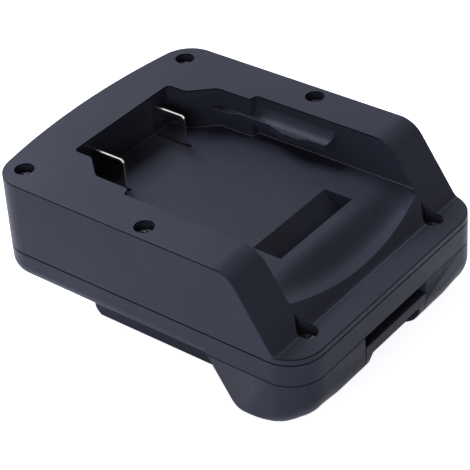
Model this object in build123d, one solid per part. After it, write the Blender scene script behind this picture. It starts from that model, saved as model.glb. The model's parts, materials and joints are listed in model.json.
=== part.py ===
from build123d import *
import math
import os

os.makedirs("parts", exist_ok=True)

# Driving dimensions, in millimetres and degrees.
# X is the width, -Y the front with the release button, +Z the side that takes the battery.
# The origin is on the lowest plane, under the middle of the case.

# Case: three shells, from the top down, and the hook that stands below them.
case_width = 84.8
case_length = 107.2
rear_bow = 4.55
case_corner_radius = 10.0
side_draft = 1.0
cover_height = 22.7
frame_height = 6.5
base_height = 15.1
hook_drop = 4.3
shell_wall = 2.2
seam_groove = 0.45
seam_chamfer = 0.3
rim_rounding = 0.35

# Front of the top cover: a slope across the full width, down to a thin ledge.
ledge_thickness = 2.2
slope_crest_setback = 21.6
slope_foot_setback = 8.4
slope_crest_radius = 8.5
slope_foot_radius = 2.3

# Battery pocket: its outline narrows towards the back in two steps.
pocket_depth = 12.7
pocket_floor_thickness = 2.2
pocket_wall = 2.0
pocket_width = 58.2
pocket_neck_width = 53.0
pocket_back_width = 40.6
pocket_back_setback = 15.2
pocket_back_run = 6.5
pocket_shoulder_run = 7.0
pocket_neck_run = 11.4
pocket_step_run = 0.8
pocket_back_radius = 1.5
pocket_shoulder_radius = 3.0
pocket_step_radius = 0.9

# Rails on the pocket's side walls, which the battery's grooves run on.
rail_length = 44.8
rail_rear_setback = 23.3
rail_reach = 4.8
rail_lip_depth = 5.8
rail_wall_depth = 3.0
rail_under_depth = 7.9
rail_lip_rounding = 0.9
rail_dish_share = 0.62
rail_dish_fall_share = 0.84

# Lip of a rail, from its rear tip forwards: shares of its length and of its reach.
rail_lip_shares = [
    (0.0, 0.60),
    (0.11, 0.92),
    (0.24, 0.92),
    (0.285, 0.65),
    (0.535, 0.65),
    (0.66, 1.0),
    (0.79, 1.0),
    (0.84, 0.77),
    (0.97, 0.77),
]

# Recess in the pocket floor for the battery's own latch.
recess_width = 32.4
recess_length = 9.15
recess_setback = 24.9
recess_fall = 8.3
recess_wall = 1.2

# Dished scoop between the recess and the slope.
scoop_start_setback = 22.8
scoop_fall_setback = 17.7
scoop_terrace_setback = 12.9
scoop_middle_fall = 5.7
scoop_side_fall = 1.2

# Screws: heads, shanks and holes.
case_screw_radius = 1.5
case_head_radius = 2.7
case_head_height = 2.3
small_screw_radius = 1.15
small_head_radius = 2.1
small_head_height = 1.6
head_crown_share = 0.35
cross_width = 0.7
cross_length = 3.0
cross_depth = 1.3
screw_tip_length = 1.0
thread_gap = 0.04
shank_gap = 0.2
head_gap = 0.15

# Case screws: places, sinking of the heads and lengths under the head.
rear_screw_side_setback = 7.9
rear_screw_setback = 10.0
middle_screw_side_setback = 5.0
middle_screw_setback = 55.1
front_screw_side_setback = 13.3
front_screw_setback = 7.3
head_sink = 2.2
long_screw_length = 24.0
front_screw_length = 12.0
front_notch_sink = 1.0
case_boss_radius = 4.0
cup_wall = 1.15

# Middle frame.
frame_floor = 2.4
frame_belly = 2.2
frame_bottom_rounding = 4.5
frame_window_rim = 3.9
frame_window_length = 38.0
frame_window_setback = 28.4
shell_gap = 0.2

# Slide base: heel, slide platform with its rail flanges, and the walls inside.
heel_rear_setback = 30.4
heel_rear_angle = 58.0
heel_foot_radius = 8.0
heel_front_radius = 8.6
platform_width = 63.0
platform_neck_width = 54.6
platform_flange = 5.4
platform_rear_setback = 25.8
platform_rear_chamfer = 3.3
platform_side_radius = 2.0
platform_edge_rounding = 0.4
base_wall = 2.4
bay_width = 26.8
bay_wall = 2.0
bay_length = 26.5
base_boss_radius = 2.8
base_screw_side_setback = 3.9
base_screw_spacing_y = 28.0
base_screw_rear_setback = 31.6
base_screw_length = 10.0

# Rounding along the heel's sides at the bottom, which grows towards the front:
# shares of the distance from the heel's rear to the front, and the radii there.
heel_side_radii = [
    (0.0, 1.4),
    (0.45, 1.6),
    (0.62, 3.2),
    (0.76, 6.4),
    (0.88, 10.0),
    (1.0, 12.5),
]

# Release button and latch.
button_width = 28.0
button_opening_width = 28.8
button_depth = 11.6
button_opening_depth = 12.1
button_edge_rounding = 0.35
scoop_strip_height = 3.0
finger_scoop_width = 23.4
finger_scoop_depth = 5.0
finger_scoop_radius = 2.4
latch_travel = 3.5
latch_end_gap = 0.3
latch_rest_gap = 0.2
latch_side_gap = 0.3
latch_plate = 3.0
latch_flange = 2.5
hook_width = 19.0
hook_length = 7.8
hook_tip = 1.0
hook_setback = 27.3
hook_ramp_angle = 42.0
latch_screw_spacing = 14.0
latch_screw_length = 6.0

# Latch springs.
spring_spacing = 16.0
spring_setback = 20.6
spring_radius = 2.6
spring_wire = 0.6
spring_turns = 6
spring_pin_radius = 1.8
spring_pin_height = 2.0
spring_end_gap = 0.05

# Contact blades in the pocket and the carrier that holds them.
blade_spacing = 26.4
blade_thickness = 0.6
blade_length = 11.4
blade_top_depth = 3.2
blade_corner_radius = 1.3
blade_wall_gap = 0.2
blade_slot_width = 1.2
blade_slot_lead = 1.4
blade_shoulder = 1.6
blade_tail_width = 4.0
blade_tail_length = 4.5
carrier_width = 37.0
carrier_length = 15.0
carrier_height = 4.8
carrier_corner_radius = 1.5
carrier_ear_length = 7.5
carrier_ear_width = 8.0
carrier_ear_radius = 3.6
carrier_ear_thickness = 2.2
carrier_screw_spacing = 44.6
carrier_boss_radius = 2.9
carrier_screw_length = 5.0
fit_gap = 0.1

# Clip terminals and their block in the rear of the platform.
clip_side_setback = 4.8
clip_thickness = 0.6
clip_height = 6.0
clip_length = 15.0
clip_root_width = 4.4
clip_pinch_gap = 0.5
clip_mouth_width = 2.6
clip_tab_width = 3.0
clip_tab_height = 4.4
clip_radius = 0.9
tool_slot_width = 3.0
tool_slot_length = 20.5
tool_slot_height = 8.0
block_side_room = 8.1
block_length = 19.0
block_height = 7.4
block_wall = 1.2
block_ear_length = 5.4
block_ear_width = 6.2
block_ear_thickness = 2.0
block_post_height = 3.4
block_screw_reach = 2.8
block_screw_length = 4.4

# Leads from the blades to the clips.
lead_radius = 1.1
lead_level_run = 8.0
lead_end_run = 5.6
lead_bend_share = 0.45

# Overrun of a cutting solid past the faces it opens.
overrun = 1.0

# Least upward share of a face's normal that makes the face part of the top.
upward_share = 0.3

# Least share of an outer radius that its inner face keeps.
soft_share = 0.4

# Levels and ends that follow from the sizes above.
front_y = -case_length / 2
rear_y = case_length / 2
base_z = hook_drop
frame_z = base_z + base_height
cover_z = frame_z + frame_height
top_z = cover_z + cover_height
ledge_z = cover_z + ledge_thickness
pocket_floor_z = top_z - pocket_depth
pocket_under_z = pocket_floor_z - pocket_floor_thickness
frame_floor_z = frame_z + frame_floor
base_floor_z = base_z + base_wall
flange_z = base_z + platform_flange

crest_y = front_y + slope_crest_setback
foot_y = front_y + slope_foot_setback
slope_angle = math.atan2(top_z - ledge_z, crest_y - foot_y)

pocket_back_y = rear_y - pocket_back_setback
shoulder_rear_y = pocket_back_y - pocket_back_run
shoulder_front_y = shoulder_rear_y - pocket_shoulder_run
step_rear_y = shoulder_front_y - pocket_neck_run
step_front_y = step_rear_y - pocket_step_run
rail_rear_y = rear_y - rail_rear_setback
recess_front_y = front_y + recess_setback
recess_rear_y = recess_front_y + recess_length

heel_rear_y = front_y + heel_rear_setback
platform_rear_y = rear_y - platform_rear_setback
bay_rear_y = front_y + button_opening_depth + bay_length
button_top_z = frame_z - latch_end_gap - latch_travel
button_rear_y = front_y + button_depth
opening_rear_y = front_y + button_opening_depth
latch_plate_z = base_floor_z + latch_rest_gap
latch_top_z = latch_plate_z + latch_plate
latch_screw_z = (latch_top_z + button_top_z) / 2
hook_front_y = front_y + hook_setback
hook_rear_y = hook_front_y + hook_length
spring_y = front_y + spring_setback

case_head_seat_z = top_z - head_sink - case_head_height
front_head_seat_z = ledge_z - head_sink - case_head_height
rear_screw_y = rear_y - rear_screw_setback
middle_screw_y = rear_y - middle_screw_setback
front_screw_y = front_y + front_screw_setback
base_screw_rear_y = rear_y - base_screw_rear_setback
base_screw_front_y = base_screw_rear_y - base_screw_spacing_y
rear_screw_spacing = case_width - 2 * rear_screw_side_setback
middle_screw_spacing = case_width - 2 * middle_screw_side_setback
front_screw_spacing = case_width - 2 * front_screw_side_setback
base_screw_spacing_x = platform_neck_width - 2 * base_screw_side_setback
frame_window_width = base_screw_spacing_x - 2 * frame_window_rim
side_screws = [(rear_screw_spacing, rear_screw_y), (middle_screw_spacing, middle_screw_y)]
head_hole_radius = case_head_radius + head_gap
shank_hole_radius = case_screw_radius + shank_gap
case_pilot_radius = case_screw_radius + thread_gap
small_shank_hole_radius = small_screw_radius + shank_gap
small_pilot_radius = small_screw_radius + thread_gap

blade_rear_y = pocket_back_y - blade_wall_gap
blade_front_y = blade_rear_y - blade_length
carrier_rear_y = blade_rear_y + blade_shoulder
carrier_front_y = carrier_rear_y - carrier_length
carrier_screw_y = (carrier_rear_y + carrier_front_y) / 2
carrier_low_z = pocket_under_z - carrier_height

block_width = platform_neck_width - 2 * base_wall - 2 * block_side_room
block_screw_spacing = block_width + 2 * block_screw_reach
clip_spacing = block_width - 2 * clip_side_setback
block_rear_y = platform_rear_y - base_wall - fit_gap
block_front_y = block_rear_y - block_length
block_low_z = base_floor_z
block_top_z = block_low_z + block_height
block_screw_y = (block_rear_y + block_front_y) / 2
clip_low_z = block_low_z + fit_gap
clip_rear_y = block_rear_y - block_wall
clip_front_y = clip_rear_y - clip_length
slot_rear_y = platform_rear_y + overrun
slot_front_y = platform_rear_y - tool_slot_length


def box(x_low, x_high, y_low, y_high, z_low, z_high):
    """A box between two corners."""
    centre = Pos((x_low + x_high) / 2, (y_low + y_high) / 2, (z_low + z_high) / 2)
    return centre * Box(x_high - x_low, y_high - y_low, z_high - z_low)


def plan_prism(face, low_z, high_z):
    """A plan face raised from one level to another."""
    return extrude(Plane.XY.offset(low_z) * face, high_z - low_z)


def side_prism(points, radii, half_width):
    """A profile given as (y, z), spread to both sides of the middle plane."""
    face = make_face(FilletPolyline(*points, radius=radii, close=True))
    return extrude(Plane.YZ * face, half_width, both=True)


def column(x, y, radius, low_z, high_z):
    """A round upright."""
    return Pos(x, y, (low_z + high_z) / 2) * Cylinder(radius, high_z - low_z)


def teardrop(x, y, radius, low_z, high_z):
    """A round upright whose plan runs out to a point at the rear."""
    touch = radius / math.sqrt(2)
    right = (x + touch, y + touch)
    left = (x - touch, y + touch)
    tip = (x, y + radius * math.sqrt(2))
    edges = [ThreePointArc(right, (x, y - radius), left), Line(left, tip), Line(tip, right)]
    return plan_prism(make_face(edges), low_z, high_z)


def pair(maker, spacing):
    """The same thing on both sides of the middle plane."""
    return maker(-spacing / 2) + maker(spacing / 2)


def mirrored(points):
    """Points of a right half outline, followed by those of the left half."""
    return points + [(-x, y) for x, y in reversed(points)]


def case_outline(inset):
    """Plan of the case: straight front and sides, bowed rear, round corners."""
    half = case_width / 2
    corner_y = rear_y - rear_bow
    left_front = (-half, front_y)
    right_front = (half, front_y)
    right_rear = (half, corner_y)
    left_rear = (-half, corner_y)
    edges = [
        Line(left_front, right_front),
        Line(right_front, right_rear),
        ThreePointArc(right_rear, (0, rear_y), left_rear),
        Line(left_rear, left_front),
    ]
    face = make_face(edges)
    face = fillet(face.vertices(), case_corner_radius)
    if inset:
        face = offset(face, -inset)
    return face


def slope_profile(inset):
    """Side view of the top cover, or of the hollow that keeps a wall under it."""
    shift = inset / math.sin(slope_angle)
    top = top_z - inset
    low = cover_z - overrun
    rear = rear_y + overrun
    slope_run = math.tan(slope_angle)
    top_y = crest_y + shift - inset / slope_run
    if inset:
        low_y = foot_y + shift - (ledge_z - low) / slope_run
        points = [(low_y, low), (rear, low), (rear, top), (top_y, top)]
        radii = [0, 0, 0, slope_crest_radius - inset]
    else:
        front = front_y - overrun
        points = [
            (front, low),
            (rear, low),
            (rear, top),
            (crest_y, top),
            (foot_y, ledge_z),
            (front, ledge_z),
        ]
        radii = [0, 0, 0, slope_crest_radius, slope_foot_radius, 0]
    return side_prism(points, radii, case_width)


def pocket_outline(grow):
    """Plan of the battery pocket, open to the front."""
    half = [
        (pocket_width / 2, front_y - overrun),
        (pocket_width / 2, step_front_y),
        (pocket_neck_width / 2, step_rear_y),
        (pocket_neck_width / 2, shoulder_front_y),
        (pocket_back_width / 2, shoulder_rear_y),
        (pocket_back_width / 2, pocket_back_y),
    ]
    half_radii = [
        pocket_step_radius,
        pocket_step_radius,
        pocket_shoulder_radius,
        pocket_shoulder_radius,
        pocket_back_radius,
    ]
    radii = [0] + half_radii + half_radii[::-1] + [0]
    face = make_face(FilletPolyline(*mirrored(half), radius=radii, close=True))
    if grow:
        face = offset(face, grow)
    return face


def scoop_section(x, fall, drop):
    """Profile of the scoop's floor at one distance from the middle plane."""
    start_y = front_y + scoop_start_setback
    middle_y = front_y + scoop_fall_setback
    terrace_y = front_y + scoop_terrace_setback
    end_y = front_y
    high = pocket_floor_z - drop
    low = high - fall
    top = pocket_floor_z + overrun
    edges = [
        Bezier((start_y, high), (middle_y, high), (middle_y, low), (terrace_y, low)),
        Line((terrace_y, low), (end_y, low)),
        Line((end_y, low), (end_y, top)),
        Line((end_y, top), (start_y, top)),
        Line((start_y, top), (start_y, high)),
    ]
    return Plane.YZ.offset(x) * make_face(edges)


def scoop(half_width, drop):
    """Solid over the dished floor in front of the recess, deepest in the middle."""
    shares = [-1, -0.5, 0, 0.5, 1]
    spread = scoop_middle_fall - scoop_side_fall
    sections = [
        scoop_section(share * half_width, scoop_middle_fall - spread * share * share, drop)
        for share in shares
    ]
    return loft(sections)


def recess(grow):
    """Wedge under the pocket floor that the battery's latch drops into."""
    half = recess_width / 2 + grow
    high = pocket_floor_z + overrun
    points = [
        (recess_front_y - grow, high),
        (recess_front_y - grow, pocket_floor_z - recess_fall - grow),
        (recess_rear_y + grow, pocket_floor_z - grow),
        (recess_rear_y + grow, high),
    ]
    return side_prism(points, [0, 0, 0, 0], half)


def rail(side):
    """One rail: stepped lip in plan, dished top, flat underside."""
    wall_x = pocket_width / 2
    root_x = wall_x + pocket_wall / 2
    lip = [
        (wall_x - rail_reach * reach, rail_rear_y - rail_length * along)
        for along, reach in rail_lip_shares
    ]
    tip = (root_x, rail_rear_y)
    foot = [(wall_x, rail_rear_y - rail_length), (root_x, rail_rear_y - rail_length)]
    points = [tip] + lip + foot
    radii = [0, 0] + [rail_lip_rounding] * (len(lip) - 1) + [0, 0]
    face = make_face(FilletPolyline(*points, radius=radii, close=True))
    body = plan_prism(face, top_z - rail_under_depth, top_z - rail_wall_depth)
    lip_x = wall_x - rail_reach
    dish_x = wall_x - rail_reach * (1 - rail_dish_share)
    dish_z = top_z - rail_wall_depth - (rail_lip_depth - rail_wall_depth) * rail_dish_fall_share
    dish = [
        ThreePointArc((wall_x, top_z - rail_wall_depth), (dish_x, dish_z), (lip_x, top_z - rail_lip_depth)),
        Line((lip_x, top_z - rail_lip_depth), (lip_x - overrun, top_z - rail_lip_depth)),
        Line((lip_x - overrun, top_z - rail_lip_depth), (lip_x - overrun, top_z)),
        Line((lip_x - overrun, top_z), (wall_x, top_z)),
        Line((wall_x, top_z), (wall_x, top_z - rail_wall_depth)),
    ]
    cutter = extrude(Plane.XZ * make_face(dish), case_length, both=True)
    shaped = body - cutter
    if side < 0:
        shaped = mirror(shaped, about=Plane.YZ)
    return shaped


def screw(head_radius, head_height, shank_radius, length):
    """A pan head screw, its seat at the origin and its tip downwards."""
    crown = head_height * head_crown_share
    head = Pos(0, 0, head_height / 2) * Cylinder(head_radius, head_height)
    head = fillet(head.edges().sort_by(Axis.Z)[-1], crown)
    shank_length = length - screw_tip_length
    shank = Pos(0, 0, -shank_length / 2) * Cylinder(shank_radius, shank_length)
    tip_z = -shank_length - screw_tip_length / 2
    tip = Pos(0, 0, tip_z) * Cone(shank_radius / 2, shank_radius, screw_tip_length)
    share = head_radius / case_head_radius
    arm = Box(cross_length * share, cross_width * share, cross_depth * share)
    cross = arm + Rot(0, 0, 90) * arm
    return head + shank + tip - Pos(0, 0, head_height) * cross


def case_screw(length):
    return screw(case_head_radius, case_head_height, case_screw_radius, length)


def small_screw(length):
    return screw(small_head_radius, small_head_height, small_screw_radius, length)


def top_cover():
    """Upper shell with the pocket, rails, latch recess, slope and ledge."""
    block = extrude(Plane.XY.offset(cover_z) * case_outline(0), cover_height + overrun, taper=side_draft)
    shell = rounded_rim(block & slope_profile(0))
    shell -= cover_hollow()
    shell -= plan_prism(pocket_outline(0), pocket_floor_z, top_z + overrun)
    shell -= scoop(pocket_width / 2, 0)
    shell -= recess(0)
    shell += rail(1)
    shell += rail(-1)
    shell -= seam_cut()
    return drill_cover(shell)


def rounded_rim(shell):
    """Small rounding where the top, the slope and the ledge meet the sides."""
    upper = [face for face in shell.faces() if face.normal_at().Z > upward_share]
    sides = [face for face in shell.faces() if abs(face.normal_at().Z) < upward_share / 2]
    side_edges = [edge for face in sides for edge in face.edges()]
    upper_edges = [edge for face in upper for edge in face.edges()]
    rim = [edge for edge in upper_edges if any(edge.is_same(other) for other in side_edges)]
    return fillet(rim, rim_rounding)


def cover_hollow():
    """Space inside the top cover, round the pocket, the recess and the screw bosses."""
    hollow = plan_prism(case_outline(shell_wall), cover_z - overrun, top_z) & slope_profile(shell_wall)
    hollow -= plan_prism(pocket_outline(pocket_wall), pocket_under_z, top_z)
    hollow -= scoop(pocket_width / 2 + pocket_wall, pocket_floor_thickness) & slope_profile(0)
    hollow -= recess(recess_wall)
    for spacing, y in side_screws:
        hollow -= pair(lambda x: column(x, y, case_boss_radius, cover_z - overrun, top_z), spacing)
    carrier_boss_z = carrier_low_z + carrier_ear_thickness
    hollow -= pair(
        lambda x: column(x, carrier_screw_y, carrier_boss_radius, carrier_boss_z, top_z),
        carrier_screw_spacing,
    )
    return hollow


def seam_cut():
    """Shadow groove round the lower edge of the cover."""
    high = cover_z + seam_groove
    ring = plan_prism(case_outline(-overrun), cover_z - overrun, high)
    return ring - plan_prism(case_outline(seam_groove), cover_z - overrun, high)


def drill_cover(shell):
    """Counterbores and clearance holes, the front cups and the blade slots."""
    for spacing, y in side_screws:
        shell -= pair(lambda x: column(x, y, head_hole_radius, case_head_seat_z, top_z + overrun), spacing)
        shell -= pair(lambda x: column(x, y, shank_hole_radius, cover_z - overrun, top_z), spacing)
    cup_radius = head_hole_radius + cup_wall
    backing_z = cover_z + seam_groove
    notch_z = ledge_z - front_notch_sink
    shell += pair(
        lambda x: column(x, front_screw_y, cup_radius, frame_floor_z, backing_z),
        front_screw_spacing,
    )
    backing = pair(
        lambda x: teardrop(x, front_screw_y, cup_radius, backing_z, top_z),
        front_screw_spacing,
    )
    shell += backing & slope_profile(0)
    shell -= pair(
        lambda x: column(x, front_screw_y, head_hole_radius, front_head_seat_z, notch_z),
        front_screw_spacing,
    )
    shell -= pair(
        lambda x: teardrop(x, front_screw_y, head_hole_radius, notch_z, top_z),
        front_screw_spacing,
    )
    shell -= pair(
        lambda x: column(x, front_screw_y, shank_hole_radius, frame_z, ledge_z),
        front_screw_spacing,
    )
    pilot_top_z = carrier_low_z + carrier_screw_length
    shell -= pair(
        lambda x: column(x, carrier_screw_y, small_pilot_radius, carrier_low_z, pilot_top_z),
        carrier_screw_spacing,
    )
    half_slot = blade_slot_width / 2
    shell -= pair(
        lambda x: box(
            x - half_slot,
            x + half_slot,
            blade_front_y - blade_slot_lead,
            pocket_back_y,
            pocket_under_z - overrun,
            pocket_floor_z + overrun,
        ),
        blade_spacing,
    )
    return shell


def middle_frame():
    """Band between the seams: a tray with a window over the slide platform."""
    half = case_width
    low = frame_z - frame_belly - overrun
    high = cover_z + overrun
    plain = plan_prism(case_outline(0), frame_z, cover_z)
    belly = plan_prism(case_outline(0), frame_z - frame_belly, cover_z)
    belly = fillet(belly.faces().sort_by(Axis.Z)[0].edges(), frame_bottom_rounding)
    belly -= neck_room(shell_gap, frame_z)
    front_part = plain & box(-half, half, front_y - overrun, heel_rear_y + shell_gap, low, high)
    rear_part = belly & box(-half, half, heel_rear_y + shell_gap, rear_y + overrun, low, high)
    tray = front_part + rear_part
    hollow = plan_prism(case_outline(shell_wall), frame_floor_z, cover_z + overrun)
    belly_rear_y = heel_rear_y + shell_gap + frame_floor
    belly_hollow = plan_prism(case_outline(shell_wall), frame_floor_z - frame_belly, cover_z)
    belly_hollow &= box(-half, half, belly_rear_y, rear_y, low, high)
    hollow += belly_hollow - neck_room(shell_gap + frame_floor, frame_floor_z)
    for spacing, y in side_screws:
        hollow -= pair(lambda x: column(x, y, case_boss_radius, low, cover_z + overrun), spacing)
    tray -= hollow
    cup_hole = head_hole_radius + cup_wall + shell_gap
    tray -= pair(
        lambda x: column(x, front_screw_y, cup_hole, frame_floor_z, cover_z + overrun),
        front_screw_spacing,
    )
    tray -= pair(
        lambda x: column(x, front_screw_y, shank_hole_radius, frame_z - overrun, cover_z),
        front_screw_spacing,
    )
    pilot_low_z = case_head_seat_z - long_screw_length
    for spacing, y in side_screws:
        tray -= pair(lambda x: column(x, y, case_pilot_radius, pilot_low_z, cover_z + overrun), spacing)
    window_rear_y = rear_y - frame_window_setback
    tray -= box(
        -frame_window_width / 2,
        frame_window_width / 2,
        window_rear_y - frame_window_length,
        window_rear_y,
        frame_z - overrun,
        cover_z,
    )
    for y in [base_screw_front_y, base_screw_rear_y]:
        tray -= pair(lambda x: column(x, y, shank_hole_radius, low, cover_z), base_screw_spacing_x)
    pin_low_z = frame_z - spring_pin_height
    tray += pair(lambda x: column(x, spring_y, spring_pin_radius, pin_low_z, frame_floor_z), spring_spacing)
    return tray


def neck_room(grow, high_z):
    """Room for the platform's neck between the lowered sides of the frame."""
    half = platform_neck_width / 2 + grow
    rear = platform_rear_y + grow
    return box(-half, half, front_y, rear, frame_z - frame_belly - overrun, high_z)


def heel_section(share, radius, inset):
    """Cross section of the heel at a share of its length, with rounded bottom corners."""
    half = case_width / 2 - inset
    low = base_z + inset
    y = heel_rear_y + (front_y - heel_rear_y) * share
    points = [(half, frame_z), (half, low), (-half, low), (-half, frame_z)]
    soft = max(radius - inset, radius * soft_share)
    face = make_face(FilletPolyline(*points, radius=[0, soft, soft, 0], close=True))
    return Plane.XZ.offset(-y) * face


def heel_block(inset):
    """Heel under the front of the case, with a rounded bottom and a sloping back."""
    low = base_z + inset
    block = plan_prism(case_outline(inset), low, frame_z)
    block = block & loft([heel_section(share, radius, inset) for share, radius in heel_side_radii])
    run = (frame_z - low) / math.tan(math.radians(heel_rear_angle))
    shift = inset / math.sin(math.radians(heel_rear_angle))
    rear = heel_rear_y - shift
    front = front_y + inset
    toe = heel_front_radius - inset
    foot = heel_foot_radius - inset
    points = [(front, low), (rear - run, low), (rear, frame_z), (front, frame_z)]
    heel = block & side_prism(points, [toe, foot, 0, 0], case_width)
    if not inset:
        top = heel.faces().sort_by(Axis.Z)[-1]
        seam = [edge for edge in top.edges() if edge.center().Y < heel_rear_y - overrun]
        heel = chamfer(seam, seam_chamfer)
    return heel


def platform_block():
    """Slide platform: a neck, and flanges below it that run in the tool's foot."""
    flange = plan_prism(platform_outline(platform_width / 2), base_z, flange_z)
    edges = [edge for edge in flange.edges() if edge.center().Y > opening_rear_y + overrun]
    flat = [edge for edge in edges if edge.bounding_box().size.Z < platform_edge_rounding]
    flange = fillet(flat, platform_edge_rounding)
    neck = plan_prism(platform_outline(platform_neck_width / 2), base_floor_z, frame_z)
    return flange + neck - platform_chamfer()


def platform_outline(half):
    """Plan of the platform between the heel and its rear end, with round rear corners."""
    corner = platform_side_radius
    front = opening_rear_y
    rear = platform_rear_y
    points = [(half, front), (half, rear), (-half, rear), (-half, front)]
    return make_face(FilletPolyline(*points, radius=[0, corner, corner, 0], close=True))


def platform_chamfer():
    """Wedge cut off under the rear end of the platform."""
    chamfer = platform_rear_chamfer
    low = base_z - overrun
    rear = platform_rear_y + overrun
    points = [
        (platform_rear_y - chamfer - overrun, low),
        (rear, base_z + chamfer + overrun),
        (rear, low),
    ]
    return side_prism(points, [0, 0, 0], case_width)


def slide_base():
    """Lower shell: heel, slide platform, latch bay, bosses and terminal slots."""
    body = heel_block(0) + platform_block()
    body -= base_hollow()
    body -= button_opening()
    body -= hook_window()
    for x in [-clip_spacing / 2, clip_spacing / 2]:
        body -= tool_slot(x)
    pilot_low_z = front_head_seat_z - front_screw_length
    body -= pair(
        lambda x: column(x, front_screw_y, case_pilot_radius, pilot_low_z, frame_z + overrun),
        front_screw_spacing,
    )
    base_pilot_z = frame_floor_z - base_screw_length
    for y in [base_screw_front_y, base_screw_rear_y]:
        body -= pair(
            lambda x: column(x, y, case_pilot_radius, base_pilot_z, frame_z + overrun),
            base_screw_spacing_x,
        )
    post_top_z = block_low_z + block_post_height
    body += pair(
        lambda x: column(x, block_screw_y, base_boss_radius, base_z + base_wall / 2, post_top_z),
        block_screw_spacing,
    )
    block_pilot_z = post_top_z + block_ear_thickness - block_screw_length
    body -= pair(
        lambda x: column(x, block_screw_y, small_pilot_radius, block_pilot_z, post_top_z + overrun),
        block_screw_spacing,
    )
    return body


def base_hollow():
    """Space inside the heel and the platform, less the walls and bosses in it."""
    hollow = heel_block(base_wall) + box(
        -platform_neck_width / 2 + base_wall,
        platform_neck_width / 2 - base_wall,
        opening_rear_y,
        platform_rear_y - base_wall,
        base_floor_z,
        frame_z + overrun,
    )
    inner = bay_width / 2
    outer = inner + bay_wall
    for side in [-1, 1]:
        low_x = min(side * inner, side * outer)
        high_x = max(side * inner, side * outer)
        hollow -= box(low_x, high_x, front_y, bay_rear_y, base_z, frame_z + overrun)
    hollow -= box(-outer, outer, bay_rear_y, bay_rear_y + bay_wall, base_z, frame_z + overrun)
    hollow -= pair(
        lambda x: column(x, front_screw_y, base_boss_radius, base_z, frame_z + overrun),
        front_screw_spacing,
    )
    for y in [base_screw_front_y, base_screw_rear_y]:
        hollow -= pair(
            lambda x: column(x, y, base_boss_radius, base_z, frame_z + overrun),
            base_screw_spacing_x,
        )
    return hollow


def button_opening():
    """Notch through the front and the bottom of the heel, closed above by the frame."""
    half = button_opening_width / 2
    return box(-half, half, front_y - overrun, opening_rear_y, base_z - overrun, frame_z + overrun)


def hook_window():
    """Hole in the platform floor that the hook passes through."""
    half = hook_width / 2 + latch_side_gap
    low_y = hook_front_y - latch_side_gap
    high_y = hook_rear_y + latch_side_gap
    return box(-half, half, low_y, high_y, base_z - overrun, base_floor_z + overrun)


def tool_slot(x):
    """Slot for one of the tool's blades, open to the rear and below."""
    half = tool_slot_width / 2
    return box(x - half, x + half, slot_front_y, slot_rear_y, base_z - overrun, base_z + tool_slot_height)


def release_button():
    """Button that follows the heel's front and bottom, with a finger scoop under its strip."""
    half = button_width / 2
    body = heel_block(0) & box(-half, half, front_y - overrun, button_rear_y, base_z - overrun, button_top_z)
    strip_z = button_top_z - scoop_strip_height
    scoop_half = finger_scoop_width / 2
    corner = finger_scoop_radius
    low = base_z - overrun
    points = [(-scoop_half, low), (scoop_half, low), (scoop_half, strip_z), (-scoop_half, strip_z)]
    face = make_face(FilletPolyline(*points, radius=[0, 0, corner, corner], close=True))
    reach = Plane.XZ.offset(-front_y - finger_scoop_depth) * face
    body -= extrude(reach, finger_scoop_depth + overrun)
    edge = body.edges().filter_by(Axis.X).sort_by(Axis.Z)[-2:].sort_by(Axis.Y)[0]
    body = fillet(edge, button_edge_rounding)
    depth = latch_screw_length - latch_flange
    hole = Rot(90, 0, 0) * Cylinder(small_pilot_radius, depth)
    hole_y = button_rear_y - depth / 2
    return body - pair(lambda x: Pos(x, hole_y, latch_screw_z) * hole, latch_screw_spacing)


def latch_hook():
    """Hook, its plate and the flange that is screwed behind the button."""
    half = bay_width / 2 - latch_side_gap
    plate_rear_y = bay_rear_y - latch_side_gap
    plate = box(-half, half, button_rear_y, plate_rear_y, latch_plate_z, latch_top_z)
    flange = box(-half, half, button_rear_y, button_rear_y + latch_flange, latch_plate_z, button_top_z)
    ramp = math.tan(math.radians(hook_ramp_angle))
    ramp_z = (hook_length - hook_tip) * ramp
    points = [
        (hook_front_y, 0),
        (hook_front_y + hook_tip, 0),
        (hook_rear_y, ramp_z),
        (hook_rear_y, latch_top_z),
        (hook_front_y, latch_top_z),
    ]
    soft = hook_tip / 2
    hook = side_prism(points, [soft, soft, 0, 0, 0], hook_width / 2)
    body = plate + flange + hook
    pin_top_z = latch_top_z + spring_pin_height
    body += pair(lambda x: column(x, spring_y, spring_pin_radius, latch_plate_z, pin_top_z), spring_spacing)
    hole_y = button_rear_y + latch_flange / 2
    hole = Rot(90, 0, 0) * Cylinder(small_shank_hole_radius, latch_flange + overrun)
    return body - pair(lambda x: Pos(x, hole_y, latch_screw_z) * hole, latch_screw_spacing)


def latch_spring(x):
    """Compression spring between the latch plate and the frame."""
    low = latch_top_z + spring_end_gap + spring_wire / 2
    high = frame_z - spring_end_gap - spring_wire / 2
    height = high - low
    path = Helix(height / spring_turns, height, spring_radius)
    section = Plane(origin=path @ 0, z_dir=path % 0) * Circle(spring_wire / 2)
    coil = sweep(section, path, is_frenet=True)
    return Pos(x, spring_y, low) * coil


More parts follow.
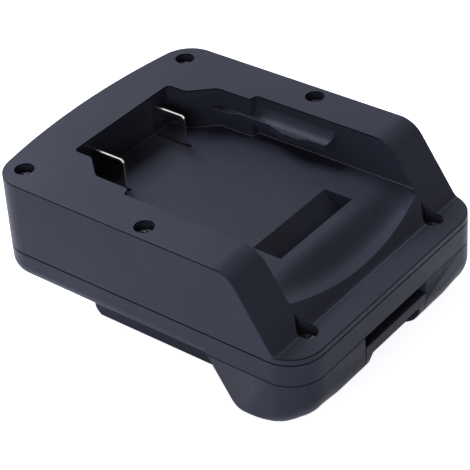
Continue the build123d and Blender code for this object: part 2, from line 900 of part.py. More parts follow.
def contact_blade(x):
    """Flat blade: a rounded corner in the pocket, shoulders and a tail under its floor."""
    top = top_z - blade_top_depth
    shoulder_top = pocket_under_z - fit_gap
    shoulder_low = pocket_under_z - carrier_height / 2
    tail_low = carrier_low_z - blade_tail_length
    tail_rear = carrier_screw_y + blade_tail_width / 2
    tail_front = tail_rear - blade_tail_width
    shoulder_front = blade_front_y - blade_shoulder / 2
    shoulder_rear = blade_rear_y + blade_shoulder / 2
    points = [
        (blade_front_y, top),
        (blade_rear_y, top),
        (blade_rear_y, shoulder_top),
        (shoulder_rear, shoulder_top),
        (shoulder_rear, shoulder_low),
        (tail_rear, shoulder_low),
        (tail_rear, tail_low),
        (tail_front, tail_low),
        (tail_front, shoulder_low),
        (shoulder_front, shoulder_low),
        (shoulder_front, shoulder_top),
        (blade_front_y, shoulder_top),
    ]
    radii = [blade_corner_radius] + [0] * (len(points) - 1)
    return Pos(x, 0, 0) * side_prism(points, radii, blade_thickness / 2)


def blade_carrier():
    """Moulding under the pocket floor that traps the blades' shoulders."""
    half = carrier_width / 2
    corner = carrier_corner_radius
    body = box(-half, half, carrier_front_y, carrier_rear_y, carrier_low_z, pocket_under_z)
    body = fillet(body.edges().filter_by(Axis.Z), corner)
    ear_high_z = carrier_low_z + carrier_ear_thickness
    ear_x = carrier_screw_spacing / 2
    ear_half = carrier_ear_width / 2
    ear_end_x = half + carrier_ear_length
    ear_plan = [
        (ear_end_x, carrier_screw_y - ear_half),
        (ear_end_x, carrier_screw_y + ear_half),
        (-ear_end_x, carrier_screw_y + ear_half),
        (-ear_end_x, carrier_screw_y - ear_half),
    ]
    ear_face = make_face(FilletPolyline(*ear_plan, radius=[carrier_ear_radius] * len(ear_plan), close=True))
    body += plan_prism(ear_face, carrier_low_z, ear_high_z)
    for x in [-ear_x, ear_x]:
        body -= column(x, carrier_screw_y, small_shank_hole_radius, carrier_low_z - overrun, pocket_under_z)
    shoulder_low = pocket_under_z - carrier_height / 2 - fit_gap
    half_slot = blade_thickness / 2 + fit_gap
    for x in [-blade_spacing / 2, blade_spacing / 2]:
        body -= box(
            x - half_slot,
            x + half_slot,
            blade_front_y - blade_shoulder / 2 - fit_gap,
            blade_rear_y + blade_shoulder / 2 + fit_gap,
            shoulder_low,
            pocket_under_z + overrun,
        )
        body -= box(
            x - half_slot,
            x + half_slot,
            carrier_screw_y - blade_tail_width / 2 - fit_gap,
            carrier_screw_y + blade_tail_width / 2 + fit_gap,
            carrier_low_z - overrun,
            pocket_under_z,
        )
    return body


def clip_terminal(x):
    """Fork of bent sheet: two leaves pinch the tool's blade, a tab takes the lead."""
    half_sheet = clip_thickness / 2
    root_y = clip_front_y + half_sheet
    mouth_y = clip_rear_y - half_sheet
    pinch_y = clip_rear_y - clip_length / 4
    root = clip_root_width / 2 - half_sheet
    pinch = clip_pinch_gap / 2 + half_sheet
    mouth = clip_mouth_width / 2 + half_sheet
    half = [(root, root_y), (root, root_y + clip_length / 5), (pinch, pinch_y), (mouth, mouth_y)]
    points = half[::-1] + [(-px, py) for px, py in half]
    radii = [clip_radius, clip_radius, clip_radius, clip_radius, clip_radius, clip_radius]
    line = FilletPolyline(*points, radius=radii)
    sheet = trace(line, clip_thickness)
    leaves = plan_prism(sheet, clip_low_z, clip_low_z + clip_height)
    tab_half = clip_tab_width / 2
    tab_high_z = clip_low_z + clip_height + clip_tab_height
    tab = box(-tab_half, tab_half, clip_front_y, clip_front_y + clip_thickness, clip_low_z, tab_high_z)
    return Pos(x, 0, 0) * (leaves + tab)


def terminal_block():
    """Moulding in the rear of the platform with a chamber for each clip."""
    half = block_width / 2
    body = box(-half, half, block_front_y, block_rear_y, block_low_z, block_top_z)
    body = fillet(body.edges().filter_by(Axis.Z), carrier_corner_radius)
    ear_low_z = block_low_z + block_post_height
    ear_half = block_ear_width / 2
    ear_end = half + block_ear_length
    body += box(
        -ear_end,
        ear_end,
        block_screw_y - ear_half,
        block_screw_y + ear_half,
        ear_low_z,
        ear_low_z + block_ear_thickness,
    )
    for x in [-block_screw_spacing / 2, block_screw_spacing / 2]:
        body -= column(x, block_screw_y, small_shank_hole_radius, ear_low_z - overrun, block_top_z)
    chamber_half = clip_root_width / 2 + fit_gap
    chamber_front = clip_front_y - fit_gap
    chamber_top = clip_low_z + clip_height + fit_gap
    slot_half = tool_slot_width / 2
    tab_half = clip_tab_width / 2 + fit_gap
    for x in [-clip_spacing / 2, clip_spacing / 2]:
        body -= box(
            x - chamber_half,
            x + chamber_half,
            chamber_front,
            clip_rear_y,
            block_low_z - overrun,
            chamber_top,
        )
        body -= box(
            x - slot_half,
            x + slot_half,
            clip_rear_y - overrun,
            slot_rear_y,
            block_low_z - overrun,
            base_z + tool_slot_height,
        )
        body -= box(
            x - tab_half,
            x + tab_half,
            chamber_front,
            clip_front_y + clip_thickness + fit_gap,
            block_low_z,
            block_top_z + overrun,
        )
    return body


def lead(side):
    """Lead from a blade's tail down to the tab of the clip on the same side."""
    blade_x = side * blade_spacing / 2
    clip_x = side * clip_spacing / 2
    start_y = carrier_screw_y - blade_tail_width / 2
    start_z = carrier_low_z - blade_tail_length / 2
    end_y = clip_front_y + clip_thickness
    end_z = clip_low_z + clip_height + clip_tab_height - lead_radius
    points = [
        (blade_x, start_y, start_z),
        (blade_x, start_y - lead_level_run, start_z),
        (clip_x, end_y + lead_end_run, end_z),
        (clip_x, end_y, end_z),
    ]
    radii = [arc_radius(points, i) for i in range(1, len(points) - 1)]
    path = FilletPolyline(*points, radius=radii)
    section = Plane(origin=path @ 0, z_dir=path % 0) * Circle(lead_radius)
    return sweep(section, path)


def arc_radius(points, index):
    """Radius that uses up a share of the shorter of the two runs that meet at a point."""
    before = Vector(*points[index]) - Vector(*points[index - 1])
    after = Vector(*points[index + 1]) - Vector(*points[index])
    turn = math.radians(before.get_angle(after))
    return lead_bend_share * min(before.length, after.length) / math.tan(turn / 2)


def placed_pair(item, spacing, y, z):
    """The same screw on both sides of the middle plane."""
    return [Pos(-spacing / 2, y, z) * item, Pos(spacing / 2, y, z) * item]


def long_screws(spacing, y):
    return placed_pair(case_screw(long_screw_length), spacing, y, case_head_seat_z)


def front_screws():
    return placed_pair(case_screw(front_screw_length), front_screw_spacing, front_screw_y, front_head_seat_z)


def base_screws():
    item = case_screw(base_screw_length)
    front = placed_pair(item, base_screw_spacing_x, base_screw_front_y, frame_floor_z)
    rear = placed_pair(item, base_screw_spacing_x, base_screw_rear_y, frame_floor_z)
    return front + rear


def carrier_screws():
    turned = Rot(180, 0, 0) * small_screw(carrier_screw_length)
    return placed_pair(turned, carrier_screw_spacing, carrier_screw_y, carrier_low_z)


def block_screws():
    seat_z = block_low_z + block_post_height + block_ear_thickness
    return placed_pair(small_screw(block_screw_length), block_screw_spacing, block_screw_y, seat_z)


def latch_screws():
    turned = Rot(-90, 0, 0) * small_screw(latch_screw_length)
    seat_y = button_rear_y + latch_flange
    return placed_pair(turned, latch_screw_spacing, seat_y, latch_screw_z)


def main():
    nodes = {
        "top_cover": top_cover(),
        "middle_frame": middle_frame(),
        "slide_base": slide_base(),
        "release_button": release_button(),
        "latch_hook": latch_hook(),
        "latch_screws": latch_screws(),
        "latch_spring_left": latch_spring(-spring_spacing / 2),
        "latch_spring_right": latch_spring(spring_spacing / 2),
        "contact_blade_left": contact_blade(-blade_spacing / 2),
        "contact_blade_right": contact_blade(blade_spacing / 2),
        "blade_carrier": blade_carrier(),
        "carrier_screws": carrier_screws(),
        "clip_terminal_left": clip_terminal(-clip_spacing / 2),
        "clip_terminal_right": clip_terminal(clip_spacing / 2),
        "terminal_block": terminal_block(),
        "terminal_block_screws": block_screws(),
        "positive_lead": lead(1),
        "negative_lead": lead(-1),
        "case_screws_rear": long_screws(rear_screw_spacing, rear_screw_y),
        "case_screws_middle": long_screws(middle_screw_spacing, middle_screw_y),
        "case_screws_front": front_screws(),
        "base_screws": base_screws(),
    }
    for name, shape in nodes.items():
        solids = shape if isinstance(shape, list) else [shape]
        compound = Compound(children=[s for item in solids for s in item.solids()])
        export_step(compound, f"parts/{name}.step")


main()
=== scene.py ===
import json
import math

import bmesh
import bpy
from mathutils import Matrix, Vector


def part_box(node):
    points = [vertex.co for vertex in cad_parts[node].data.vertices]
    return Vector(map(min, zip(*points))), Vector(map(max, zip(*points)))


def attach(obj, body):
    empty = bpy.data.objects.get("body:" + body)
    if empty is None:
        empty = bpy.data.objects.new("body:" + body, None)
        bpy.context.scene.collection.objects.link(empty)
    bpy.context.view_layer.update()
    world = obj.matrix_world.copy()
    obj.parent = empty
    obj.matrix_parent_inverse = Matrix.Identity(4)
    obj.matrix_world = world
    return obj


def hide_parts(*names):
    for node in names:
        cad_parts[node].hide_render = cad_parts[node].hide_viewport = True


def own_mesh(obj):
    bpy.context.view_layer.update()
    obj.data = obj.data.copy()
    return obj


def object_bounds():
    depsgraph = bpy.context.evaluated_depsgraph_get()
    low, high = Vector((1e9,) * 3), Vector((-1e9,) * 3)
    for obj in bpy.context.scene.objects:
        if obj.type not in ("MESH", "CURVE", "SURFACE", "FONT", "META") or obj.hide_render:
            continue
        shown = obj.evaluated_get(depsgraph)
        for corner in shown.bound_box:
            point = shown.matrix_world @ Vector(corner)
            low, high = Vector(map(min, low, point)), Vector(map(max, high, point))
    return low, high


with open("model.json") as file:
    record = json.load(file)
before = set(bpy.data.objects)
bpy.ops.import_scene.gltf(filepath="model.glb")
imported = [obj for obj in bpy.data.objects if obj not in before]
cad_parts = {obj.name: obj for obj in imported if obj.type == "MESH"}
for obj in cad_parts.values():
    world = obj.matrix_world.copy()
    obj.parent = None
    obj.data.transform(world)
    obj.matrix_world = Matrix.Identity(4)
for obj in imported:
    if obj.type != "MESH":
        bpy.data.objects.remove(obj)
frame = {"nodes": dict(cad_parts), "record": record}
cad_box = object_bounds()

# Camera, fitted to the photograph's frame of 470 by 470. Lengths are in metres.
CAMERA_PLACE = (-0.31557, -0.27087, 0.32052)
CAMERA_RIGHT = (0.61335, -0.78702, -0.06632)
CAMERA_UP = (0.49350, 0.31632, 0.81019)
CAMERA_FORWARD = (0.61666, 0.52966, -0.58241)
CAMERA_LENS = 140.85
CAMERA_NEAR = 0.01
SENSOR_WIDTH = 36.0

# Lamps: name, place, side and power. They point near the middle of the object.
LAMPS = [
    ("key", (0.12, 0.62, 0.74), 0.5, 10.3),
    ("fill", (-0.92, -0.24, 0.30), 0.55, 4.3),
]
LAMP_TARGET = (0.0, 0.0, 0.03)
LAMP_COLOUR = (0.91, 0.95, 1.15)

# Floor, its lift towards white where it is seen, and the soft light from all round.
WHITE = (1.0, 1.0, 1.0, 1.0)
FLOOR_HALF = 4.0
FLOOR_COLOUR = (0.90, 0.93, 1.0, 1.0)
FLOOR_ROUGHNESS = 0.9
FLOOR_LIFT = 0.88
WORLD_COLOUR = (0.98, 0.96, 0.94, 1.0)
WORLD_LIGHT = 0.065

# Distances from the middle, in halves of the object, between which the floor's glow seen in
# gloss comes out of a painted shadow under the object.
UNDER_SHADE = (0.85, 1.2)

# Front bottom corners of the heel: radius in plan, the rounding's radius at shares of
# the way from the side to the front, and the run along the front in which it fades out.
CORNER_RADIUS = 0.0100
CORNER_ROUNDING = [(0.0, 0.0043), (0.15, 0.0057), (0.35, 0.0077), (0.55, 0.0091), (1.0, 0.0097)]
FRONT_ROUNDING = 0.0085
FRONT_RUN = 0.0100
CORNER_MARGIN = 0.0040
CORNER_STEPS = 24
QUARTER_TURN = math.radians(90.0)

# Mesh of the heel: gap below which points are joined, angle of a sharp edge, and how far
# large faces lead the shading.
JOINED_GAP = 0.000001
SHARP_ANGLE = math.radians(20.0)
LARGE_FACE_WEIGHT = 100

# Noises of the finishes: scale, detail and roughness. The grain and the specks take their
# scale from the finish.
CLOUD_NOISE = (45.0, 4.0, 0.55)
GRAIN_NOISE = (2.0, 0.6)
SPECK_NOISE = (3.0, 0.7)
SPECK_SCALE_SHARE = 0.45
DUST_NOISE = (60.0, 2.0, 0.5)
DRAWN_NOISE = (900.0, 4.0, 0.6)
TARNISH_NOISE = (160.0, 3.0, 0.5)

# Parts of a noise's range that colours, gloss and dust follow.
COLOUR_RANGE = (0.35, 0.65)
GLOSS_RANGE = (0.3, 0.7)
DUST_RANGE = (0.5, 0.7)

# Plastics: level and tint of the gloss, change of roughness, and bump strengths.
PLASTIC_GLOSS = 0.10
GLOSS_COLOUR = (0.82, 0.86, 1.0, 1.0)
PLASTIC_ROUGHNESS_CHANGE = 0.07
GRAIN_STRENGTH = 0.55
SPECK_STRENGTH = 0.35
SPECK_DEPTH_SHARE = 1.6

# Dust: colour, cells in a metre, largest speck in cells, and the finishes that have it.
DUST = (0.2200, 0.2200, 0.2300)
DUST_CELLS = 110.0
DUST_LARGEST = 0.03
DUSTY = ("cover_plastic", "frame_plastic", "base_plastic")

# Metals: change of roughness down and up, and strength of the drawn lines.
METAL_SMOOTHER = 0.08
METAL_ROUGHER = 0.1
DRAWN_STRENGTH = 0.4

# Colours of the plastics outside and inside, and of the painted lines: painted shade and painted
# highlights.
SHELL_DARK = (0.0265, 0.0275, 0.0375)
SHELL_LIGHT = (0.0325, 0.0335, 0.0450)
INNER_DARK = (0.0120, 0.0120, 0.0130)
INNER_LIGHT = (0.0180, 0.0180, 0.0190)
# Painted shade, for the dark rims of the top and the ledge and for the lower seam.
PAINTED_SHADE_LINE = (0.0040, 0.0040, 0.0060)
# Painted highlight, for the corner of the pocket floor and the rails' lips.
PAINTED_HIGHLIGHT_LINE = (0.2000, 0.1900, 0.1800)
# Painted highlight along the slope's foot.
PAINTED_FOOT_HIGHLIGHT = (0.0700, 0.0680, 0.0920)

# Limits of the painted shade and highlight lines: how far up a face looks at least and at most,
# the half width and the rear end. The first row holds those of a line that runs everywhere.
TOP = cad_box[1][2]
FRONT = cad_box[0][1]
NO_LIMITS = {"least_up": -1.0, "most_up": 1.1, "half_width": 1.0, "rear": 1.0}
IN_POCKET = {"half_width": 0.0300, "rear": 0.0400}
ON_RAILS = {"half_width": 0.0263, "rear": 0.0252}
ON_LEDGE = {"rear": FRONT + 0.0086}
ON_HEEL = {"rear": FRONT + 0.0306}

# Thin level lines of painted shade and painted highlight on each finish: colour, depth below the top,
# half height, and limits. They are painted shade on the rims of the top and the ledge, painted
# highlights on the corner of the pocket floor, on the rails' lips and along the slope's foot, and
# painted shade in the lower seam.
PAINTED_LIGHT_LINES = {
    "cover_plastic": [
        # Painted shade: a dark line along the top's rim.
        (PAINTED_SHADE_LINE, 0.00022, 0.00019, {"most_up": 0.93}),
        # Painted shade: a dark line along the ledge's rim.
        (PAINTED_SHADE_LINE, 0.02072, 0.00016, {"most_up": 0.93, **ON_LEDGE}),
        # Painted highlight: a light line where the pocket floor meets its walls.
        (PAINTED_HIGHLIGHT_LINE, 0.01259, 0.00008, {"most_up": 0.30, **IN_POCKET}),
        # Painted highlight: a light line along the rails' lips.
        (PAINTED_HIGHLIGHT_LINE, 0.00588, 0.00009, {"most_up": 0.50, **ON_RAILS}),
        # Painted highlight: a light line along the foot of the slope.
        (PAINTED_FOOT_HIGHLIGHT, 0.020425, 0.00006, {"least_up": 0.80}),
    ],
    # Painted shade: a dark line in the lower seam, on the frame and on the base.
    "frame_plastic": [(PAINTED_SHADE_LINE, 0.02918, 0.00010, {"most_up": 0.50, **ON_HEEL})],
    "base_plastic": [(PAINTED_SHADE_LINE, 0.02930, 0.00020, {"most_up": 0.95, **ON_HEEL})],
}

# Moulded finishes: darkest and lightest colour, roughness, grain scale and grain depth.
MOULDED = {
    "cover_plastic": (SHELL_DARK, SHELL_LIGHT, 0.42, 2600.0, 0.00005),
    "frame_plastic": (SHELL_DARK, SHELL_LIGHT, 0.44, 2600.0, 0.00005),
    "base_plastic": (SHELL_DARK, SHELL_LIGHT, 0.44, 2600.0, 0.00005),
    "button_plastic": (SHELL_DARK, SHELL_LIGHT, 0.40, 2600.0, 0.00005),
    "hook_plastic": (INNER_DARK, INNER_LIGHT, 0.40, 1500.0, 0.00003),
    "carrier_plastic": (INNER_DARK, INNER_LIGHT, 0.50, 1500.0, 0.00003),
    "block_plastic": (INNER_DARK, INNER_LIGHT, 0.50, 1500.0, 0.00003),
    "positive_lead": ((0.380, 0.012, 0.010), (0.460, 0.020, 0.016), 0.42, 900.0, 0.00002),
    "negative_lead": (INNER_DARK, INNER_LIGHT, 0.42, 900.0, 0.00002),
}

# Metal finishes: darkest and lightest colour, roughness, stretch of the drawn lines and
# their depth.
EVEN = (1.0, 1.0, 1.0)
METAL = {
    "blade_metal": ((0.60, 0.58, 0.54), (0.76, 0.75, 0.72), 0.16, (1.0, 0.12, 1.0), 0.000004),
    "clip_metal": ((0.60, 0.42, 0.18), (0.74, 0.55, 0.27), 0.26, (1.0, 1.0, 0.12), 0.00001),
    "spring_steel": ((0.36, 0.36, 0.37), (0.50, 0.50, 0.50), 0.26, EVEN, 0.00001),
    "black_screw": ((0.200, 0.200, 0.204), (0.290, 0.290, 0.296), 0.30, EVEN, 0.00001),
    "plated_screw": ((0.50, 0.50, 0.47), (0.62, 0.62, 0.60), 0.26, EVEN, 0.00001),
}


def add_item(name, data):
    """A new object over a mesh, lamp or camera, in the scene's collection."""
    item = bpy.data.objects.new(name, data)
    bpy.context.collection.objects.link(item)
    return item


def new_material(name):
    """A node material with its shader, and a coordinate node in metres."""
    material = bpy.data.materials.new(name)
    material.use_nodes = True
    nodes = material.node_tree.nodes
    shader = nodes["Principled BSDF"]
    place = nodes.new("ShaderNodeTexCoord")
    return material, nodes, material.node_tree.links, shader, place.outputs["Object"]


def noise(nodes, links, place, scale, detail, roughness):
    """A noise texture over the object's own coordinates."""
    texture = nodes.new("ShaderNodeTexNoise")
    texture.inputs["Scale"].default_value = scale
    texture.inputs["Detail"].default_value = detail
    texture.inputs["Roughness"].default_value = roughness
    links.new(place, texture.inputs["Vector"])
    return texture.outputs["Fac"]


def between(nodes, links, factor, low, high, start, end):
    """A value that goes from low to high as the factor goes from start to end."""
    spread = nodes.new("ShaderNodeMapRange")
    spread.inputs["From Min"].default_value = start
    spread.inputs["From Max"].default_value = end
    spread.inputs["To Min"].default_value = low
    spread.inputs["To Max"].default_value = high
    links.new(factor, spread.inputs["Value"])
    return spread.outputs["Result"]


def shade(nodes, links, factor, dark, light):
    """A colour between two, led by a factor."""
    ramp = nodes.new("ShaderNodeValToRGB")
    ends = zip(ramp.color_ramp.elements, COLOUR_RANGE, (dark, light))
    for element, position, colour in ends:
        element.position = position
        element.color = (*colour, 1.0)
    links.new(factor, ramp.inputs["Fac"])
    return ramp.outputs["Color"]


def bump(nodes, links, height, strength, distance, before=None):
    """A bump over a height, on top of another bump where one is given."""
    node = nodes.new("ShaderNodeBump")
    node.inputs["Strength"].default_value = strength
    node.inputs["Distance"].default_value = distance
    links.new(height, node.inputs["Height"])
    if before:
        links.new(before, node.inputs["Normal"])
    return node.outputs["Normal"]


def compute(nodes, links, operation, *values):
    """A math node over outputs or numbers."""
    node = nodes.new("ShaderNodeMath")
    node.operation = operation
    for socket, value in zip(node.inputs, values):
        if isinstance(value, (int, float)):
            socket.default_value = value
        else:
            links.new(value, socket)
    return node.outputs["Value"]


def tint(nodes, links, colour, mask, other):
    """A colour turned to another where the mask says."""
    mix = nodes.new("ShaderNodeMix")
    mix.data_type = "RGBA"
    mix.inputs["B"].default_value = (*other, 1.0)
    links.new(mask, mix.inputs["Factor"])
    links.new(colour, mix.inputs["A"])
    return mix.outputs["Result"]


def painted_light_mask(nodes, links, place, below, reach, limits):
    """One on a thin level line of painted shade or highlight some way below the top, within the limits
    given.
    """
    limits = {**NO_LIMITS, **limits}
    split = nodes.new("ShaderNodeSeparateXYZ")
    links.new(place, split.inputs["Vector"])
    facing = nodes.new("ShaderNodeNewGeometry")
    up = nodes.new("ShaderNodeSeparateXYZ")
    links.new(facing.outputs["Normal"], up.inputs["Vector"])
    aside = compute(nodes, links, "ABSOLUTE", split.outputs["X"])
    tests = [
        ("LESS_THAN", up.outputs["Z"], limits["most_up"]),
        ("GREATER_THAN", up.outputs["Z"], limits["least_up"]),
        ("LESS_THAN", aside, limits["half_width"]),
        ("LESS_THAN", split.outputs["Y"], limits["rear"]),
    ]
    mask = compute(nodes, links, "COMPARE", split.outputs["Z"], TOP - below, reach)
    for test in tests:
        mask = compute(nodes, links, "MULTIPLY", mask, compute(nodes, links, *test))
    return mask


def dust_mask(nodes, links, place):
    """One on sparse small specks of dust."""
    cells = nodes.new("ShaderNodeTexVoronoi")
    cells.inputs["Scale"].default_value = DUST_CELLS
    links.new(place, cells.inputs["Vector"])
    spread = noise(nodes, links, place, *DUST_NOISE)
    size = between(nodes, links, spread, 0.0, DUST_LARGEST, *DUST_RANGE)
    return compute(nodes, links, "LESS_THAN", cells.outputs["Distance"], size)


def moulded(name, dark, light, rough, grain, depth):
    """Moulded plastic: spark grain, faint cloudiness, lines of painted shade and highlight, dust and
    uneven gloss.
    """
    material, nodes, links, shader, place = new_material(name)
    fine = noise(nodes, links, place, grain, *GRAIN_NOISE)
    cloud = noise(nodes, links, place, *CLOUD_NOISE)
    speck = noise(nodes, links, place, grain * SPECK_SCALE_SHARE, *SPECK_NOISE)
    colour = shade(nodes, links, cloud, dark, light)
    # Lines of painted shade and painted highlight laid over the colour.
    for other, below, reach, limits in PAINTED_LIGHT_LINES.get(name, ()):
        mask = painted_light_mask(nodes, links, place, below, reach, limits)
        colour = tint(nodes, links, colour, mask, other)
    if name in DUSTY:
        colour = tint(nodes, links, colour, dust_mask(nodes, links, place), DUST)
    links.new(colour, shader.inputs["Base Color"])
    smoothest = rough - PLASTIC_ROUGHNESS_CHANGE
    roughest = rough + PLASTIC_ROUGHNESS_CHANGE
    gloss = between(nodes, links, speck, smoothest, roughest, *GLOSS_RANGE)
    links.new(gloss, shader.inputs["Roughness"])
    first = bump(nodes, links, fine, GRAIN_STRENGTH, depth)
    both = bump(nodes, links, speck, SPECK_STRENGTH, depth * SPECK_DEPTH_SHARE, first)
    links.new(both, shader.inputs["Normal"])
    shader.inputs["Specular IOR Level"].default_value = PLASTIC_GLOSS
    shader.inputs["Specular Tint"].default_value = GLOSS_COLOUR
    return material


def metal(name, dark, light, rough, stretch, depth):
    """Metal with fine lines, spots of tarnish and uneven gloss."""
    material, nodes, links, shader, place = new_material(name)
    mapping = nodes.new("ShaderNodeMapping")
    mapping.inputs["Scale"].default_value = stretch
    links.new(place, mapping.inputs["Vector"])
    lines = noise(nodes, links, mapping.outputs["Vector"], *DRAWN_NOISE)
    cloud = noise(nodes, links, place, *TARNISH_NOISE)
    links.new(shade(nodes, links, cloud, dark, light), shader.inputs["Base Color"])
    gloss = between(nodes, links, lines, rough - METAL_SMOOTHER, rough + METAL_ROUGHER, *GLOSS_RANGE)
    links.new(gloss, shader.inputs["Roughness"])
    links.new(bump(nodes, links, lines, DRAWN_STRENGTH, depth), shader.inputs["Normal"])
    shader.inputs["Metallic"].default_value = 1.0
    return material


FINISHES = {name: moulded(name, *values) for name, values in MOULDED.items()}
FINISHES.update({name: metal(name, *values) for name, values in METAL.items()})


def dress_nodes():
    """Every CAD node gets the finish of its slot in the record."""
    slots = {row["node"]: row["material_slot"] for row in frame["record"]["subparts"]}
    for name, item in frame["nodes"].items():
        item.data.materials.clear()
        item.data.materials.append(FINISHES[slots[name]])


def corner_rounding(share, past):
    """Rounding radius at a share of the way to the front, or of the run past it."""
    radius = CORNER_ROUNDING[-1][1]
    for (start, low), (end, high) in zip(CORNER_ROUNDING, CORNER_ROUNDING[1:]):
        if start <= share < end:
            radius = low + (high - low) * (share - start) / (end - start)
    ease = past * past * (3.0 - 2.0 * past)
    return radius + (FRONT_ROUNDING - radius) * ease


def corner_profile(radius, low_z):
    """Reach and height of what lies outside a rounded bottom edge, as one closed outline."""
    arc = [QUARTER_TURN * part / CORNER_STEPS for part in range(CORNER_STEPS + 1)]
    edge = CORNER_RADIUS - radius
    profile = [(edge + radius * math.cos(turn), low_z + radius * (1.0 - math.sin(turn))) for turn in arc]
    below = low_z - CORNER_MARGIN
    beyond = CORNER_RADIUS + CORNER_MARGIN
    return profile + [(profile[-1][0], below), (beyond, below), (beyond, profile[0][1])]


def corner_cutter(side):
    """What lies outside the rounded front bottom corner of the heel, on one side."""
    low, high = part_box("slide_base")
    centre_x = high[0] - CORNER_RADIUS
    centre_y = low[1] + CORNER_RADIUS
    builder = bmesh.new()
    rings = []
    for step in range(2 * CORNER_STEPS + 1):
        share = min(step / CORNER_STEPS, 1.0)
        past = max(step / CORNER_STEPS - 1.0, 0.0)
        turn = QUARTER_TURN * share
        ring = []
        for reach, level in corner_profile(corner_rounding(share, past), low[2]):
            x = centre_x + reach * math.cos(turn) - FRONT_RUN * past
            y = centre_y - reach * math.sin(turn)
            ring.append(builder.verts.new((x * side, y, level)))
        rings.append(ring)
    for first, second in zip(rings, rings[1:]):
        for index, corner in enumerate(first):
            after = (index + 1) % len(first)
            builder.faces.new((corner, first[after], second[after], second[index]))
    builder.faces.new(rings[0])
    builder.faces.new(rings[-1])
    bmesh.ops.recalc_face_normals(builder, faces=builder.faces)
    mesh = bpy.data.meshes.new("corner_cutter")
    builder.to_mesh(mesh)
    builder.free()
    return add_item("corner_cutter", mesh)


def join_points(mesh):
    """Points of a mesh that lie in one place become one."""
    builder = bmesh.new()
    builder.from_mesh(mesh)
    bmesh.ops.remove_doubles(builder, verts=builder.verts, dist=JOINED_GAP)
    builder.to_mesh(mesh)
    builder.free()


def make_heel():
    """The slide base again, with the heel's front bottom corners fully rounded."""
    piece = add_item("base_shell", frame["nodes"]["slide_base"].data.copy())
    join_points(piece.data)
    cutters = [corner_cutter(side) for side in (-1, 1)]
    for cutter in cutters:
        cut = piece.modifiers.new("cut", "BOOLEAN")
        cut.operation = "DIFFERENCE"
        cut.solver = "EXACT"
        cut.object = cutter
    graph = bpy.context.evaluated_depsgraph_get()
    shaped = bpy.data.meshes.new_from_object(piece.evaluated_get(graph))
    piece.modifiers.clear()
    piece.data = shaped
    for cutter in cutters:
        bpy.data.objects.remove(cutter)
    for polygon in shaped.polygons:
        polygon.use_smooth = True
    shaped.set_sharp_from_angle(angle=SHARP_ANGLE)
    even = piece.modifiers.new("even", "WEIGHTED_NORMAL")
    even.weight = LARGE_FACE_WEIGHT
    even.keep_sharp = True
    shaped.materials.clear()
    shaped.materials.append(FINISHES["base_plastic"])
    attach(piece, "case")
    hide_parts("slide_base")


def make_springs():
    """The latch springs again, as pieces of their own that ride with the case."""
    for side in ("left", "right"):
        name = "latch_spring_" + side
        piece = add_item("return_spring_" + side, frame["nodes"][name].data.copy())
        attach(piece, "case")
        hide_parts(name)
        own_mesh(piece)


def seen_rays(nodes, links, fade=1.0):
    """One where the camera, a gloss or glass sees the background, and else zero."""
    path = nodes.new("ShaderNodeLightPath")
    glossy = path.outputs["Is Glossy Ray"]
    through = path.outputs["Is Transmission Ray"]
    either = compute(nodes, links, "MAXIMUM", glossy, through)
    faded = compute(nodes, links, "MULTIPLY", either, fade)
    return compute(nodes, links, "MAXIMUM", path.outputs["Is Camera Ray"], faded)


def out_of_shade(nodes, links, place):
    """Zero on the floor under the object, and one away from it: a painted shadow on the floor's glow
    seen in gloss and glass.
    """
    halves = nodes.new("ShaderNodeVectorMath")
    halves.operation = "DIVIDE"
    halves.inputs[1].default_value = (cad_box[1][0], cad_box[1][1], 1.0)
    links.new(place, halves.inputs[0])
    away = nodes.new("ShaderNodeVectorMath")
    away.operation = "LENGTH"
    links.new(halves.outputs["Vector"], away.inputs[0])
    return between(nodes, links, away.outputs["Value"], 0.0, 1.0, *UNDER_SHADE)


def backdrop_material():
    """Pale floor that takes the shadow, lifted to white where it is seen."""
    material, nodes, links, shader, place = new_material("backdrop")
    shader.inputs["Base Color"].default_value = FLOOR_COLOUR
    shader.inputs["Roughness"].default_value = FLOOR_ROUGHNESS
    shader.inputs["Specular IOR Level"].default_value = 0.0
    glow = nodes.new("ShaderNodeEmission")
    glow.inputs["Color"].default_value = WHITE
    # The glow seen in gloss and glass is faded under the object: a painted shadow in reflections.
    seen = seen_rays(nodes, links, out_of_shade(nodes, links, place))
    lift = compute(nodes, links, "MULTIPLY", seen, FLOOR_LIFT)
    links.new(lift, glow.inputs["Strength"])
    both = nodes.new("ShaderNodeAddShader")
    links.new(shader.outputs["BSDF"], both.inputs[0])
    links.new(glow.outputs["Emission"], both.inputs[1])
    links.new(both.outputs["Shader"], nodes["Material Output"].inputs["Surface"])
    return material


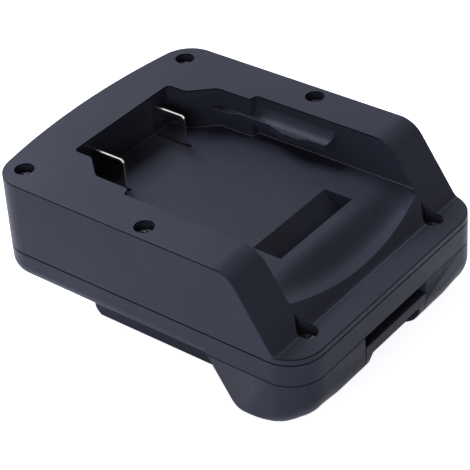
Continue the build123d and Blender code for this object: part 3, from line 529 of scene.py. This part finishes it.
def make_floor():
    """Square floor under the object, which isn't part of it."""
    mesh = bpy.data.meshes.new("floor")
    corners = [(-1, -1), (1, -1), (1, 1), (-1, 1)]
    places = [(x * FLOOR_HALF, y * FLOOR_HALF, 0.0) for x, y in corners]
    mesh.from_pydata(places, [], [range(len(places))])
    mesh.materials.append(backdrop_material())
    item = add_item("floor", mesh)


def make_world():
    """White background for the camera, gloss and glass, soft grey light for the rest."""
    world = bpy.data.worlds.new("studio")
    bpy.context.scene.world = world
    world.use_nodes = True
    nodes = world.node_tree.nodes
    links = world.node_tree.links
    soft = nodes["Background"]
    soft.inputs["Color"].default_value = WORLD_COLOUR
    soft.inputs["Strength"].default_value = WORLD_LIGHT
    white = nodes.new("ShaderNodeBackground")
    white.inputs["Color"].default_value = WHITE
    white.inputs["Strength"].default_value = 1.0
    mix = nodes.new("ShaderNodeMixShader")
    links.new(seen_rays(nodes, links), mix.inputs["Fac"])
    links.new(soft.outputs["Background"], mix.inputs[1])
    links.new(white.outputs["Background"], mix.inputs[2])
    links.new(mix.outputs["Shader"], nodes["World Output"].inputs["Surface"])


def make_lamps():
    """Soft square lamps that point at the object."""
    for name, place, size, power in LAMPS:
        light = bpy.data.lights.new(name, "AREA")
        light.shape = "SQUARE"
        light.size = size
        light.energy = power
        light.color = LAMP_COLOUR
        item = add_item(name, light)
        item.location = place
        aim = Vector(LAMP_TARGET) - Vector(place)
        item.rotation_euler = aim.to_track_quat("-Z", "Y").to_euler()


def make_camera():
    """The photograph's camera."""
    camera = bpy.data.cameras.new("camera")
    camera.sensor_width = SENSOR_WIDTH
    camera.lens = CAMERA_LENS
    camera.clip_start = CAMERA_NEAR
    camera.dof.use_dof = False
    item = add_item("camera", camera)
    backward = [-value for value in CAMERA_FORWARD]
    turn = Matrix((CAMERA_RIGHT, CAMERA_UP, backward)).transposed().to_4x4()
    item.matrix_world = Matrix.Translation(CAMERA_PLACE) @ turn
    bpy.context.scene.camera = item


dress_nodes()
make_heel()
make_springs()
make_floor()
make_world()
make_lamps()
make_camera()
bpy.context.scene.view_settings.view_transform = "Standard"
